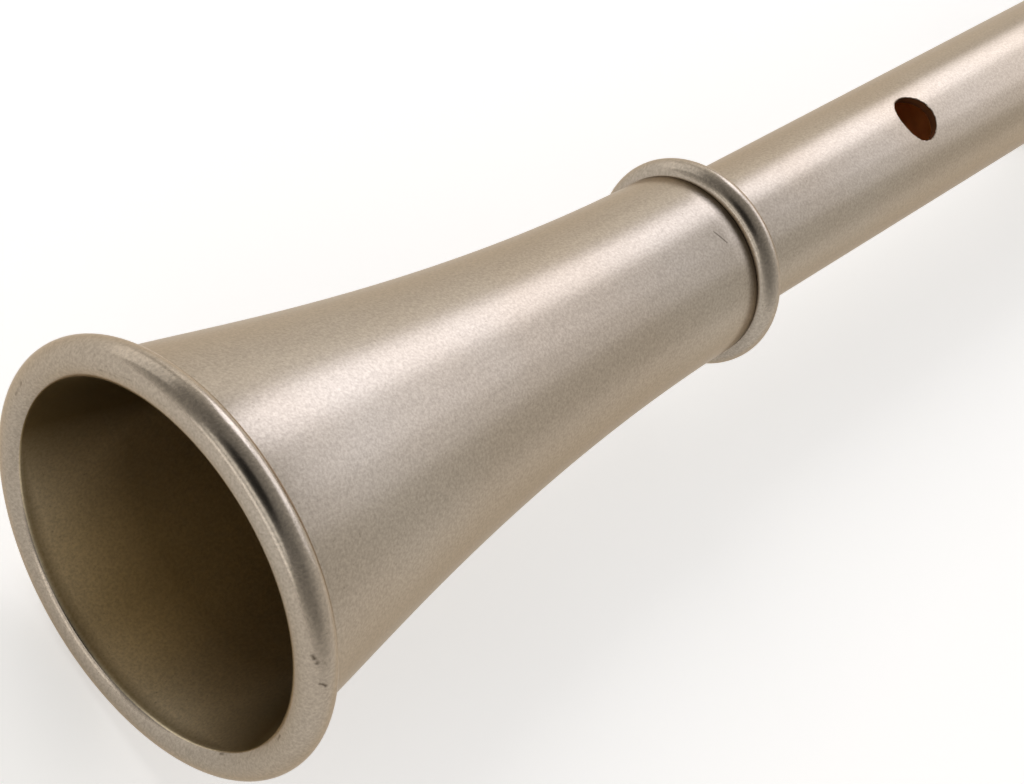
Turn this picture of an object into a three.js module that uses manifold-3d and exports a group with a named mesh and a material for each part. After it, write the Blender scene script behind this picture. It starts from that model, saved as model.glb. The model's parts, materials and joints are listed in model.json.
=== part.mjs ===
// A pocket saxophone: a straight metal tube with finger holes, a flared bell with a beaded rim,
// and a single-reed mouthpiece that slides on a corked tenon.
// Millimetres. The tube's axis runs along +X, from the bell mouth to the mouthpiece tip, and the
// finger holes face +Z. The instrument lies level on its rim and on the foot of its thumb hook,
// and the origin is on that surface, under the middle of the instrument.

import * as THREE from 'three';
import { mergeVertices } from 'three/addons/utils/BufferGeometryUtils.js';
import Module from 'manifold-3d';

const wasm = await Module();
wasm.setup();

// Gap kept between two pieces that touch on the real instrument.
const GAP = 0.3;
// Facets round every turned piece, round the small ones, round a drilled hole and round a screw.
const TURNED_FACETS = 40;
const SMALL_FACETS = 24;
const HOLE_FACETS = 20;
const SCREW_FACETS = 12;

// Bell, turned with a wall about 2 mm thick and a bead round its rim. Angles on the bead's
// circle start at its back and turn outwards.
const RIM_DIAMETER = 44.2;
const RIM_BEAD_DIAMETER = 3.9;
const RIM_BEAD_FACETS = 12;
const BEAD_OUTSIDE_ANGLE = -19;
const BEAD_INSIDE_ANGLE = 230;
const BELL_LENGTH = 80.1;
const BELL_THROAT_DIAMETER = 22.3;
const BELL_NECK_DEPTH = 0.5;
const BELL_NECK_SHARPNESS = 16;
const BELL_INSIDE_CURVE = 1.3;

// Ring over the joint between bell and tube.
const COLLAR_DIAMETER = 25.3;
const COLLAR_WIDTH = 3.2;

// Body tube and its holes. A hole's place is its distance from the bell mouth.
const TUBE_DIAMETER = 18;
const TUBE_BORE = 16;
const TUBE_ENTRY = 13;
const TUBE_END = 288;
const LOWEST_HOLE_PLACE = 123.1;
const LOWEST_HOLE_DIAMETER = 6.4;
const FINGER_HOLES = [
  { above: 35.0, diameter: 7.0 },
  { above: 20.5, diameter: 6.4 },
  { above: 20.5, diameter: 7.2 },
  { above: 26.0, diameter: 7.2 },
  { above: 19.5, diameter: 6.6 },
  { above: 18.0, diameter: 6.2 },
];
const THUMB_HOLE_ABOVE = 7.5;
const THUMB_HOLE_DIAMETER = 6.2;

// Upper end of the tube: a ring outside it, and the turned tenon soldered into it.
const END_RING_WIDTH = 6;
const END_RING_WALL = 1.3;
const END_RING_CROWN = 0.9;
const TENON_SPIGOT_LENGTH = 12;
const TENON_BORE = 13.2;
const TENON_DIAMETER = 15.2;
const TENON_LENGTH = 18;
const SHOULDER_DIAMETER = 20.4;
const SHOULDER_WIDTH = 3.7;
const CORK_DIAMETER = 17.2;
const CORK_LENGTH = 14;
const CORK_SETBACK = 1.2;

// Mouthpiece. Places along it are distances from its shank end. Its table runs back past the
// heel of the reed by the table's spare length.
const TUNING_GAP = 3.3;
const MOUTHPIECE_LENGTH = 87;
const SHANK_DIAMETER = 23;
const SHANK_LENGTH = 10;
const NOSE_DIAMETER = 18.4;
const SOCKET_CLEARANCE = 0.15;
const SOCKET_SPARE = 3.5;
const TABLE_SPARE = 2;
const TABLE_DEPTH = 3;
const LAY_LENGTH = 18;
const TIP_OPENING = 1.4;
const TIP_RAIL = 1.2;
const TIP_EDGE = 1;
const TIP_ARC_RADIUS = 13;
const BEAK_LENGTH = 36;
const WINDOW_LENGTH = 36;
const WINDOW_WIDTH = 10.4;
const BEAK_WALL = 3.6;
const MOUTHPIECE_RING_WIDTH = 6;
const MOUTHPIECE_RING_WALL = 0.9;

// Reed.
const REED_LENGTH = 66;
const REED_HEEL_WIDTH = 11.5;
const REED_TIP_WIDTH = 13.6;
const REED_VAMP_LENGTH = 34;
const REED_TIP_THICKNESS = 0.25;

// Ligature: a split band drawn together by two screws under the reed. Its place is measured
// from the heel of the reed.
const BAND_ABOVE_HEEL = 6;
const BAND_WIDTH = 20;
const BAND_SHEET = 0.8;
const BAND_CLEARANCE = 0.45;
const BAND_SPLIT = 6.8;
const POST_INSET = 4;
const POST_DROP = 2.4;
const POST_DIAMETER = 4;
const POST_NECK = 3.2;
const POST_LENGTH = 4.6;
const SCREW_DIAMETER = 2;
const SCREW_HEAD_DIAMETER = 8;
const SCREW_HEAD_LENGTH = 3.5;
const SCREW_HEAD_LOBES = 12;
const SCREW_TIP = 1;

// Thumb hook, strap lug and strap ring, behind the tube.
const HOOK_PLACE = 196.5;
const HOOK_PLATE_LENGTH = 22;
const HOOK_PLATE_WIDTH = 13;
const HOOK_PLATE_SHEET = 1;
const HOOK_WIDTH = 15;
const HOOK_STRIP = 2.2;
const HOOK_BEND_RADIUS = 5.1;
const HOOK_FOOT_LENGTH = 10.9;
const HOOK_CURL_ANGLE = 60;
const HOOK_SETBACK = 1.2;
const LUG_PLACE = 222;
const LUG_LENGTH = 11;
const LUG_WIDTH = 8;
const LUG_SHEET = 1;
const LUG_FIN = 2.2;
const LUG_HOLE_DEPTH = 2.9;
const LUG_HOLE_DIAMETER = 2.6;
const LUG_EYE_DIAMETER = 4.8;
const STRAP_RING_DIAMETER = 10.4;
const STRAP_RING_WIRE = 1.6;

// Places that follow from the sizes above.
const RIM_RADIUS = RIM_DIAMETER / 2;
const BEAD_RADIUS = RIM_BEAD_DIAMETER / 2;
const BEAD_CIRCLE = RIM_RADIUS - BEAD_RADIUS;
const TUBE_RADIUS = TUBE_DIAMETER / 2;
const SHOULDER_START = TUBE_END + GAP;
const SHOULDER_END = SHOULDER_START + SHOULDER_WIDTH;
const MOUTHPIECE_START = SHOULDER_END + TUNING_GAP;
const OVERALL_LENGTH = MOUTHPIECE_START + MOUTHPIECE_LENGTH;
const CORK_RADIUS = CORK_DIAMETER / 2;
const SOCKET_RADIUS = CORK_RADIUS + SOCKET_CLEARANCE;
const SHANK_RADIUS = SHANK_DIAMETER / 2;
const REED_HEEL = MOUTHPIECE_LENGTH - REED_LENGTH;
const TABLE_START = REED_HEEL - TABLE_SPARE;
const BAND_START = REED_HEEL + BAND_ABOVE_HEEL;
const FLOOR = -RIM_RADIUS;
// A box or a cutter of this size reaches past every piece.
const FAR = 60;

const radians = THREE.MathUtils.degToRad;

const metal = { metalness: 1, roughness: 0.42 };
const satinNickel = new THREE.MeshStandardMaterial({ color: 0xc8beb2, ...metal });
const polishedBrass = new THREE.MeshStandardMaterial({ color: 0xd0b070, ...metal });
const ebonite = new THREE.MeshStandardMaterial({ color: 0x18181a, roughness: 0.3 });
const cane = new THREE.MeshStandardMaterial({ color: 0xdcc38c, roughness: 0.6 });
const cork = new THREE.MeshStandardMaterial({ color: 0xb98a58, roughness: 0.9 });

// Volume inside a triangle mesh, negative where its faces point inwards.
function signedVolume(position, index) {
  const a = new THREE.Vector3();
  const b = new THREE.Vector3();
  const c = new THREE.Vector3();
  let volume = 0;
  for (let i = 0; i < index.length; i += 3) {
    a.fromBufferAttribute(position, index[i]);
    b.fromBufferAttribute(position, index[i + 1]);
    c.fromBufferAttribute(position, index[i + 2]);
    volume += a.dot(b.cross(c)) / 6;
  }
  return volume;
}

// A closed three.js geometry as a solid that can be joined and cut.
function solid(geometry) {
  geometry.deleteAttribute('normal');
  geometry.deleteAttribute('uv');
  const merged = mergeVertices(geometry);
  const index = [];
  for (let i = 0; i < merged.index.count; i += 3) {
    const [a, b, c] = [0, 1, 2].map((k) => merged.index.getX(i + k));
    if (a !== b && b !== c && c !== a) index.push(a, b, c);
  }
  if (signedVolume(merged.attributes.position, index) < 0) index.reverse();
  return new wasm.Manifold(new wasm.Mesh({
    numProp: 3,
    vertProperties: new Float32Array(merged.attributes.position.array),
    triVerts: new Uint32Array(index),
  }));
}

// A named mesh of a solid.
function piece(name, material, body) {
  const { vertProperties, triVerts } = body.getMesh();
  const geometry = new THREE.BufferGeometry();
  geometry.setAttribute('position', new THREE.BufferAttribute(vertProperties, 3));
  geometry.setIndex(new THREE.BufferAttribute(triVerts, 1));
  geometry.computeVertexNormals();
  const mesh = new THREE.Mesh(geometry, material);
  mesh.name = name;
  return mesh;
}

// Turned solid about the X axis. Each point is [distance along X, radius].
function turned(points, facets = TURNED_FACETS) {
  const profile = points.map(([x, r]) => new THREE.Vector2(r, x));
  return solid(new THREE.LatheGeometry(profile, facets).rotateZ(-Math.PI / 2));
}

// Turned sleeve between two places, with its bore. The profile closes on itself.
function sleeve(from, to, innerRadius, outerRadius) {
  return turned([
    [from, innerRadius],
    [from, outerRadius],
    [to, outerRadius],
    [to, innerRadius],
    [from, innerRadius],
  ]);
}

// Turned ring with flat sides and an outside that is half an ellipse, as deep as its crown.
function crownedRing(from, width, innerRadius, outerRadius, crown) {
  const half = width / 2;
  const steps = 6;
  const profile = [[from, innerRadius]];
  for (let i = 0; i <= steps; i += 1) {
    const angle = Math.PI * (i / steps);
    const x = from + half * (1 - Math.cos(angle));
    profile.push([x, outerRadius - crown * (1 - Math.sin(angle))]);
  }
  profile.push([from + width, innerRadius], [from, innerRadius]);
  return turned(profile);
}

// Cylinder along Y or Z, centred on a point.
function cylinder(axis, radius, length, [x, y, z], facets = SMALL_FACETS) {
  const geometry = new THREE.CylinderGeometry(radius, radius, length, facets);
  if (axis === 'z') geometry.rotateX(Math.PI / 2);
  return solid(geometry.translate(x, y, z));
}

function box([x0, y0, z0], [x1, y1, z1]) {
  const geometry = new THREE.BoxGeometry(x1 - x0, y1 - y0, z1 - z0);
  return solid(geometry.translate((x0 + x1) / 2, (y0 + y1) / 2, (z0 + z1) / 2));
}

// Side-view outline in X and Z, made solid from y = from to y = to.
function fromSideView(shape, from, to, curveSegments = 6) {
  const options = { depth: to - from, bevelEnabled: false, curveSegments };
  const geometry = new THREE.ExtrudeGeometry(shape, options);
  return solid(geometry.rotateX(Math.PI / 2).translate(0, to, 0));
}

// Plan-view outline in X and Y, made solid from z = from to z = to.
function fromPlanView(shape, from, to, curveSegments = 10) {
  const options = { depth: to - from, bevelEnabled: false, curveSegments };
  const geometry = new THREE.ExtrudeGeometry(shape, options);
  return solid(geometry.translate(0, 0, from));
}

function outline(points) {
  return new THREE.Shape(points.map(([x, y]) => new THREE.Vector2(x, y)));
}

// Bell. The bead is a circle at the mouth. From the bead's back the outside flares down to the
// throat as a parabola, drawn in a little at the bead, and from its front the inside narrows to
// the tube's bore. Behind that the throat is a socket for the tube.
const beadPoint = (radius, degrees) => [
  BEAD_RADIUS + radius * Math.cos(radians(degrees)),
  BEAD_CIRCLE + radius * Math.sin(radians(degrees)),
];
const [NECK_PLACE, NECK_RADIUS] = beadPoint(BEAD_RADIUS, BEAD_OUTSIDE_ANGLE);
const [LIP_PLACE, LIP_RADIUS] = beadPoint(BEAD_RADIUS, BEAD_INSIDE_ANGLE);
const SEAT_PLACE = BELL_LENGTH - TUBE_ENTRY - GAP;

function bellOutside(x) {
  const toMouth = (BELL_LENGTH - x) / (BELL_LENGTH - NECK_PLACE);
  const throat = BELL_THROAT_DIAMETER / 2;
  const flare = NECK_RADIUS + BELL_NECK_DEPTH - throat;
  return throat + flare * toMouth ** 2 - BELL_NECK_DEPTH * toMouth ** BELL_NECK_SHARPNESS;
}

function bellInside(x) {
  const toMouth = (SEAT_PLACE - x) / (SEAT_PLACE - LIP_PLACE);
  return TUBE_BORE / 2 + (LIP_RADIUS - TUBE_BORE / 2) * toMouth ** BELL_INSIDE_CURVE;
}

function bell() {
  const beadStep = 360 / RIM_BEAD_FACETS;
  const between = (from, to, shares) => shares.map((share) => from + share * (to - from));
  const outerShares = [0, 0.14, 0.28, 0.42, 0.55, 0.67, 0.78, 0.87, 0.93, 0.97, 1];
  const outside = between(BELL_LENGTH, NECK_PLACE, outerShares);
  const inside = between(LIP_PLACE, SEAT_PLACE, [0, 0.12, 0.25, 0.39, 0.54, 0.7, 0.86, 1]);

  const profile = outside.map((x) => [x, bellOutside(x)]);
  // The facets touch the bead's circle, so the front one is a flat ring on the mouth plane.
  const facetRadius = BEAD_RADIUS / Math.cos(radians(beadStep / 2));
  for (let degrees = beadStep / 2; degrees < BEAD_INSIDE_ANGLE - beadStep; degrees += beadStep) {
    profile.push(beadPoint(facetRadius, degrees));
  }
  inside.forEach((x) => profile.push([x, bellInside(x)]));
  const socketRadius = TUBE_RADIUS + GAP;
  profile.push([SEAT_PLACE, socketRadius], [BELL_LENGTH, socketRadius], profile[0]);
  return turned(profile);
}

const collarRing = crownedRing(
  BELL_LENGTH + GAP,
  COLLAR_WIDTH,
  TUBE_RADIUS + GAP,
  COLLAR_DIAMETER / 2,
  COLLAR_WIDTH / 2,
);

// Body tube, drilled through one wall at each hole.
function toneHole(place, diameter, side) {
  const middle = [place, 0, side * TUBE_RADIUS];
  return cylinder('z', diameter / 2, TUBE_DIAMETER, middle, HOLE_FACETS);
}

function bodyTube() {
  let tube = sleeve(BELL_LENGTH - TUBE_ENTRY, TUBE_END, TUBE_BORE / 2, TUBE_RADIUS);
  tube = tube.subtract(toneHole(LOWEST_HOLE_PLACE, LOWEST_HOLE_DIAMETER, 1));
  let place = LOWEST_HOLE_PLACE;
  for (const { above, diameter } of FINGER_HOLES) {
    place += above;
    tube = tube.subtract(toneHole(place, diameter, 1));
  }
  return tube.subtract(toneHole(place + THUMB_HOLE_ABOVE, THUMB_HOLE_DIAMETER, -1));
}

const endRing = crownedRing(
  TUBE_END - END_RING_WIDTH,
  END_RING_WIDTH,
  TUBE_RADIUS + GAP,
  TUBE_RADIUS + GAP + END_RING_WALL,
  END_RING_CROWN,
);

// Tenon: a spigot soldered into the tube, a shoulder, and the stub that carries the cork.
function tenon() {
  const bore = TENON_BORE / 2;
  const spigot = TUBE_BORE / 2 - GAP;
  const stub = TENON_DIAMETER / 2;
  const nose = 1;
  const shoulder = SHOULDER_DIAMETER / 2;
  return turned([
    [TUBE_END - TENON_SPIGOT_LENGTH, bore],
    [TUBE_END - TENON_SPIGOT_LENGTH, spigot],
    [SHOULDER_START, spigot],
    [SHOULDER_START, shoulder - nose],
    [SHOULDER_START + nose, shoulder],
    [SHOULDER_END - nose, shoulder],
    [SHOULDER_END, shoulder - nose],
    [SHOULDER_END, stub],
    [SHOULDER_END + TENON_LENGTH, stub],
    [SHOULDER_END + TENON_LENGTH, bore],
    [TUBE_END - TENON_SPIGOT_LENGTH, bore],
  ]);
}

const tenonCork = sleeve(
  SHOULDER_END + CORK_SETBACK,
  SHOULDER_END + CORK_SETBACK + CORK_LENGTH,
  TENON_DIAMETER / 2 + GAP,
  CORK_RADIUS,
);

// Mouthpiece body: parallel at the shank, then a cone to the nose. The table, the reed and the
// ligature all follow the cone, so its radius at a place sets theirs.
function coneRadius(place) {
  const share = (place - SHANK_LENGTH) / (MOUTHPIECE_LENGTH - SHANK_LENGTH);
  return SHANK_RADIUS + share * (NOSE_DIAMETER / 2 - SHANK_RADIUS);
}
const tableHeight = (place) => TABLE_DEPTH - coneRadius(place);

// Solid cone round the mouthpiece, offset outwards, between two places.
function coneSolid(from, to, offset) {
  return turned([
    [from, 0],
    [from, coneRadius(from) + offset],
    [to, coneRadius(to) + offset],
    [to, 0],
  ]);
}

// Plan outline of given widths whose front end is the arc of the tip, set back by a distance.
function tipOutline(back, backWidth, frontWidth, setback) {
  const tip = MOUTHPIECE_LENGTH - setback;
  const half = frontWidth / 2;
  const centre = tip - TIP_ARC_RADIUS;
  const angle = Math.asin(half / TIP_ARC_RADIUS);
  const shape = new THREE.Shape();
  shape.moveTo(back, -backWidth / 2);
  shape.lineTo(centre + TIP_ARC_RADIUS * Math.cos(angle), -half);
  shape.absarc(centre, 0, TIP_ARC_RADIUS, -angle, angle, false);
  shape.lineTo(back, backWidth / 2);
  return shape;
}

function mouthpiece() {
  const length = MOUTHPIECE_LENGTH;
  const body = turned([
    [0, 0],
    [0, SHANK_RADIUS],
    [SHANK_LENGTH, SHANK_RADIUS],
    [length, NOSE_DIAMETER / 2],
    [length, 0],
  ]);

  // Side view: table, lay curving away from the reed, tip edge and beak.
  const layStart = length - LAY_LENGTH;
  const laySteps = 6;
  const side = [[0, -FAR], [TABLE_START, -FAR], [TABLE_START, tableHeight(TABLE_START)]];
  for (let i = 0; i <= laySteps; i += 1) {
    const share = i / laySteps;
    const place = layStart + share * LAY_LENGTH;
    side.push([place, tableHeight(place) + TIP_OPENING * share ** 2]);
  }
  const tipHeight = tableHeight(length) + TIP_OPENING;
  const beakStart = length - BEAK_LENGTH;
  side.push([length, tipHeight + TIP_EDGE], [beakStart, coneRadius(beakStart)]);
  side.push([beakStart, FAR], [0, FAR]);
  let shaped = body.intersect(fromSideView(outline(side), -FAR, FAR));
  const widest = 2 * TIP_ARC_RADIUS;
  shaped = shaped.intersect(fromPlanView(tipOutline(-1, widest, widest, 0), -FAR, FAR));

  // Socket, throat, and the chamber that opens through the window in the table.
  const socketDepth = TENON_LENGTH - TUNING_GAP + SOCKET_SPARE;
  const windowEnd = length - TIP_RAIL;
  const windowStart = windowEnd - WINDOW_LENGTH;
  const roof = coneRadius(beakStart) - BEAK_WALL;
  const chamberSide = fromSideView(outline([
    [windowStart, -FAR],
    [windowStart, roof],
    [beakStart, roof],
    [windowEnd, tipHeight],
    [windowEnd, -FAR],
  ]), -FAR, FAR);
  const chamberPlan = tipOutline(windowStart, WINDOW_WIDTH, WINDOW_WIDTH, TIP_RAIL);
  const chamber = chamberSide.intersect(fromPlanView(chamberPlan, -FAR, FAR));
  const bores = turned([
    [-1, 0],
    [-1, SOCKET_RADIUS],
    [socketDepth, SOCKET_RADIUS],
    [socketDepth, TENON_BORE / 2],
    [windowStart + 1, TENON_BORE / 2],
    [windowStart + 1, 0],
  ]);
  return shaped.subtract(chamber).subtract(bores);
}

// Reed: flat against the table, bark outside, and the vamp cut down to a thin tip.
function reed() {
  const length = MOUTHPIECE_LENGTH;
  const heel = REED_HEEL;
  const vampStart = length - REED_VAMP_LENGTH;
  const flat = (place) => tableHeight(place) - GAP;
  const bark = (place) => -coneRadius(place);
  const side = outline([
    [heel, flat(heel)],
    [length, flat(length)],
    [length, flat(length) - REED_TIP_THICKNESS],
    [vampStart, bark(vampStart)],
    [vampStart, -FAR],
    [heel, -FAR],
  ]);
  const plan = tipOutline(heel, REED_HEEL_WIDTH, REED_TIP_WIDTH, 0);
  return coneSolid(heel - 1, length + 1, 0)
    .intersect(fromSideView(side, -FAR, FAR))
    .intersect(fromPlanView(plan, -FAR, FAR));
}

// Ligature. Its band is split below the reed, where a plain and a threaded post stand on the
// two edges, and each screw passes through a pair of posts.
function ligatureBand() {
  const end = BAND_START + BAND_WIDTH;
  const inner = (place) => coneRadius(place) + BAND_CLEARANCE;
  const band = turned([
    [BAND_START, inner(BAND_START)],
    [BAND_START, inner(BAND_START) + BAND_SHEET],
    [end, inner(end) + BAND_SHEET],
    [end, inner(end)],
    [BAND_START, inner(BAND_START)],
  ]);
  const split = box([BAND_START - 1, -BAND_SPLIT / 2, -FAR], [end + 1, BAND_SPLIT / 2, 0]);
  return band.subtract(split);
}

const bandOutside = (place) => coneRadius(place) + BAND_CLEARANCE + BAND_SHEET;
const screwPlaces = {
  back: BAND_START + POST_INSET,
  front: BAND_START + BAND_WIDTH - POST_INSET,
};
const screwHeight = (place) => -(bandOutside(place) + POST_DROP);

function ligaturePost(place, side) {
  const height = screwHeight(place);
  const radius = POST_DIAMETER / 2;
  const neck = POST_NECK / 2;
  const neckAngle = Math.asin(neck / radius);
  const shape = new THREE.Shape();
  const top = Math.PI / 2;
  shape.moveTo(place - neck, 0);
  shape.lineTo(place - neck, height + radius * Math.cos(neckAngle));
  shape.absarc(place, height, radius, top + neckAngle, top - neckAngle + 2 * Math.PI, false);
  shape.lineTo(place + neck, 0);
  const inner = BAND_SPLIT / 2;
  const outer = inner + POST_LENGTH;
  const [from, to] = side > 0 ? [inner, outer] : [-outer, -inner];
  const clearOfBand = coneSolid(
    BAND_START - POST_DIAMETER,
    BAND_START + BAND_WIDTH + POST_DIAMETER,
    BAND_CLEARANCE + BAND_SHEET + GAP,
  );
  const screwHole = cylinder('y', SCREW_DIAMETER / 2 + GAP, FAR, [place, 0, height]);
  return fromSideView(shape, from, to, 8).subtract(clearOfBand).subtract(screwHole);
}

function ligatureScrew(place) {
  const height = screwHeight(place);
  const headStart = BAND_SPLIT / 2 + POST_LENGTH + GAP;
  const tip = -(BAND_SPLIT / 2 + POST_LENGTH + SCREW_TIP);
  const overlap = 1;
  const shankLength = headStart + overlap - tip;
  const shankMiddle = (headStart + overlap + tip) / 2;
  const middle = [place, shankMiddle, height];
  const shank = cylinder('y', SCREW_DIAMETER / 2, shankLength, middle, SCREW_FACETS);
  const radius = SCREW_HEAD_DIAMETER / 2;
  const lobeDepth = 0.35;
  const points = [];
  const steps = SCREW_HEAD_LOBES * 4;
  for (let i = 0; i < steps; i += 1) {
    const angle = (2 * Math.PI * i) / steps;
    const r = radius - lobeDepth * (0.5 - 0.5 * Math.cos(SCREW_HEAD_LOBES * angle));
    points.push([place + r * Math.cos(angle), height + r * Math.sin(angle)]);
  }
  const head = fromSideView(outline(points), headStart, headStart + SCREW_HEAD_LENGTH);
  return shank.add(head);
}

// Curved plate that lies on the back of the tube.
function saddle(place, length, width, sheet) {
  const inner = TUBE_RADIUS + GAP;
  const from = place - length / 2;
  const ring = sleeve(from, from + length, inner, inner + sheet);
  return ring.intersect(box([from - 1, -width / 2, -FAR], [from + length + 1, width / 2, 0]));
}

// Thumb hook: a bent strip whose outer face is flat and lies on the same plane as the rim.
function thumbHook() {
  const plateEnd = HOOK_PLACE + HOOK_PLATE_LENGTH / 2;
  const back = plateEnd - HOOK_SETBACK;
  const outer = HOOK_BEND_RADIUS;
  const inner = HOOK_BEND_RADIUS - HOOK_STRIP;
  const bendHeight = FLOOR + outer;
  const bendPlace = back - outer;
  const curlPlace = bendPlace - HOOK_FOOT_LENGTH;
  const down = -Math.PI / 2;
  const curl = down - radians(HOOK_CURL_ANGLE);
  const shape = new THREE.Shape();
  shape.moveTo(back, 0);
  shape.lineTo(back, bendHeight);
  shape.absarc(bendPlace, bendHeight, outer, 0, down, true);
  shape.absarc(curlPlace, bendHeight, outer, down, curl, true);
  shape.absarc(curlPlace, bendHeight, inner, curl, down, false);
  shape.absarc(bendPlace, bendHeight, inner, down, 0, false);
  shape.lineTo(back - HOOK_STRIP, 0);
  const strip = fromSideView(shape, -HOOK_WIDTH / 2, HOOK_WIDTH / 2);
  const clear = TUBE_RADIUS + GAP + HOOK_PLATE_SHEET + GAP;
  const tubeAndPlate = turned([
    [HOOK_PLACE - FAR, 0],
    [HOOK_PLACE - FAR, clear],
    [HOOK_PLACE + FAR, clear],
    [HOOK_PLACE + FAR, 0],
  ]);
  return strip.subtract(tubeAndPlate);
}

// Strap lug: a saddle with a fin below it, and a cross hole for the ring.
const lugHoleHeight = -(TUBE_RADIUS + LUG_HOLE_DEPTH);

function strapLug() {
  const base = saddle(LUG_PLACE, LUG_LENGTH, LUG_WIDTH, LUG_SHEET);
  const eye = LUG_EYE_DIAMETER / 2;
  const root = -(TUBE_RADIUS + GAP + LUG_SHEET / 2);
  const shape = new THREE.Shape();
  shape.moveTo(LUG_PLACE - eye, root);
  shape.lineTo(LUG_PLACE - eye, lugHoleHeight);
  shape.absarc(LUG_PLACE, lugHoleHeight, eye, Math.PI, 2 * Math.PI, false);
  shape.lineTo(LUG_PLACE + eye, root);
  const fin = fromSideView(shape, -LUG_FIN / 2, LUG_FIN / 2);
  const hole = cylinder('y', LUG_HOLE_DIAMETER / 2, FAR, [LUG_PLACE, 0, lugHoleHeight]);
  return base.add(fin).subtract(hole);
}

// Strap ring, hanging from the hole in the lug.
function strapRing() {
  const wire = STRAP_RING_WIRE / 2;
  const circle = STRAP_RING_DIAMETER / 2 - wire;
  const geometry = new THREE.TorusGeometry(circle, wire, 8, SMALL_FACETS);
  return solid(geometry.rotateY(Math.PI / 2).translate(LUG_PLACE, 0, lugHoleHeight - circle));
}

// The group's origin is below the middle of the instrument, on the surface it lies on.
const pocketSaxophone = new THREE.Group();
pocketSaxophone.position.set(-OVERALL_LENGTH / 2, 0, -FLOOR);

pocketSaxophone.add(
  piece('body_tube', satinNickel, bodyTube()),
  piece('bell', satinNickel, bell()),
  piece('collar_ring', satinNickel, collarRing),
  piece('tube_end_ring', satinNickel, endRing),
  piece('tenon', satinNickel, tenon()),
  piece('tenon_cork', cork, tenonCork),
  piece(
    'thumb_hook_plate',
    satinNickel,
    saddle(HOOK_PLACE, HOOK_PLATE_LENGTH, HOOK_PLATE_WIDTH, HOOK_PLATE_SHEET),
  ),
  piece('thumb_hook', satinNickel, thumbHook()),
  piece('strap_lug', satinNickel, strapLug()),
  piece('strap_ring', satinNickel, strapRing()),
);

// The mouthpiece group slides on the cork, so its pieces are placed from the shank end.
const mouthpieceGroup = new THREE.Group();
mouthpieceGroup.position.x = MOUTHPIECE_START;
pocketSaxophone.add(mouthpieceGroup);

mouthpieceGroup.add(
  piece('mouthpiece', ebonite, mouthpiece()),
  piece('mouthpiece_ring', satinNickel, sleeve(
    0,
    MOUTHPIECE_RING_WIDTH,
    SHANK_RADIUS + GAP,
    SHANK_RADIUS + GAP + MOUTHPIECE_RING_WALL,
  )),
  piece('reed', cane, reed()),
  piece('ligature_band', polishedBrass, ligatureBand()),
);
for (const [end, place] of Object.entries(screwPlaces)) {
  mouthpieceGroup.add(
    piece(`ligature_post_plain_${end}`, polishedBrass, ligaturePost(place, 1)),
    piece(`ligature_post_threaded_${end}`, polishedBrass, ligaturePost(place, -1)),
    piece(`ligature_screw_${end}`, polishedBrass, ligatureScrew(place)),
  );
}

export default pocketSaxophone;
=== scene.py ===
# A pocket saxophone: satin nickel-plated brass body and bell, ebonite mouthpiece, cane reed
# and brass ligature, lying on a pale studio floor.

import json
from math import acos, asin, cos, hypot, pi, radians, sin, sqrt

import bpy
from mathutils import Matrix, Vector


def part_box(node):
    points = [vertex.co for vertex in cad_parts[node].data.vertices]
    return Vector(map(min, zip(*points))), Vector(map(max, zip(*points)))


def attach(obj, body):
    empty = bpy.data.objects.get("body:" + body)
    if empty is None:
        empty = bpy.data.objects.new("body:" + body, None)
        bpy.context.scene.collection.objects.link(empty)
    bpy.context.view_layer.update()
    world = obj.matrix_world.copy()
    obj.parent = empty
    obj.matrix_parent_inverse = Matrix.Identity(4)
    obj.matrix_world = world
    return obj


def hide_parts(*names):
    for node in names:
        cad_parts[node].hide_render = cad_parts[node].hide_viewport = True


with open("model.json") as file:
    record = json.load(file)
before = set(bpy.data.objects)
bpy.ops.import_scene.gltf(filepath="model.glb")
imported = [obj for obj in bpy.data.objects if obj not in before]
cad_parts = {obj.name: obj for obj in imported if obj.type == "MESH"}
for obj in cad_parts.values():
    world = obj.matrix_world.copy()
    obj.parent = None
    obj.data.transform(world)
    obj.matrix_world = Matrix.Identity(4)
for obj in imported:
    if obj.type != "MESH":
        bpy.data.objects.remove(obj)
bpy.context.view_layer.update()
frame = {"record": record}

MM = 0.001
X = Vector((1, 0, 0))
Y = Vector((0, 1, 0))
Z = Vector((0, 0, 1))


# Sizes and places, in metres. The large ones are read from the frame.

def ends(node):
    """Where a node starts and stops along the tube."""
    low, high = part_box(node)
    return low.x, high.x


def radius_of(node):
    low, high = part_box(node)
    return (high.y - low.y) / 2


TUBE_START, TUBE_END = ends("body_tube")
TUBE_RADIUS = radius_of("body_tube")
TUBE_BORE_RADIUS = 8.0 * MM
AXIS_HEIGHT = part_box("body_tube")[0].z + TUBE_RADIUS
AXIS = Vector((0, 0, AXIS_HEIGHT))
# A soldered joint keeps this much air in the frame, and is drawn closed here.
SOLDER_GAP = 0.3 * MM
SOLDERED = 0.02 * MM
# Inside of what is slid over the tube.
SLEEVE_RADIUS = TUBE_RADIUS + SOLDERED

BELL_MOUTH, BELL_END = ends("bell")
RIM_RADIUS = radius_of("bell")
BEAD_RADIUS = 1.95 * MM
BEAD_OUTSIDE_ANGLE = radians(-19)
BEAD_INSIDE_ANGLE = radians(230)
THROAT_RADIUS = 11.15 * MM
NECK_DEPTH = 0.5 * MM
NECK_SHARPNESS = 16
INSIDE_CURVE = 1.3

COLLAR_START, COLLAR_END = ends("collar_ring")
COLLAR_RADIUS = radius_of("collar_ring")
END_RING_START, END_RING_END = ends("tube_end_ring")
END_RING_RADIUS = radius_of("tube_end_ring")
END_RING_CROWN = 0.9 * MM
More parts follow.
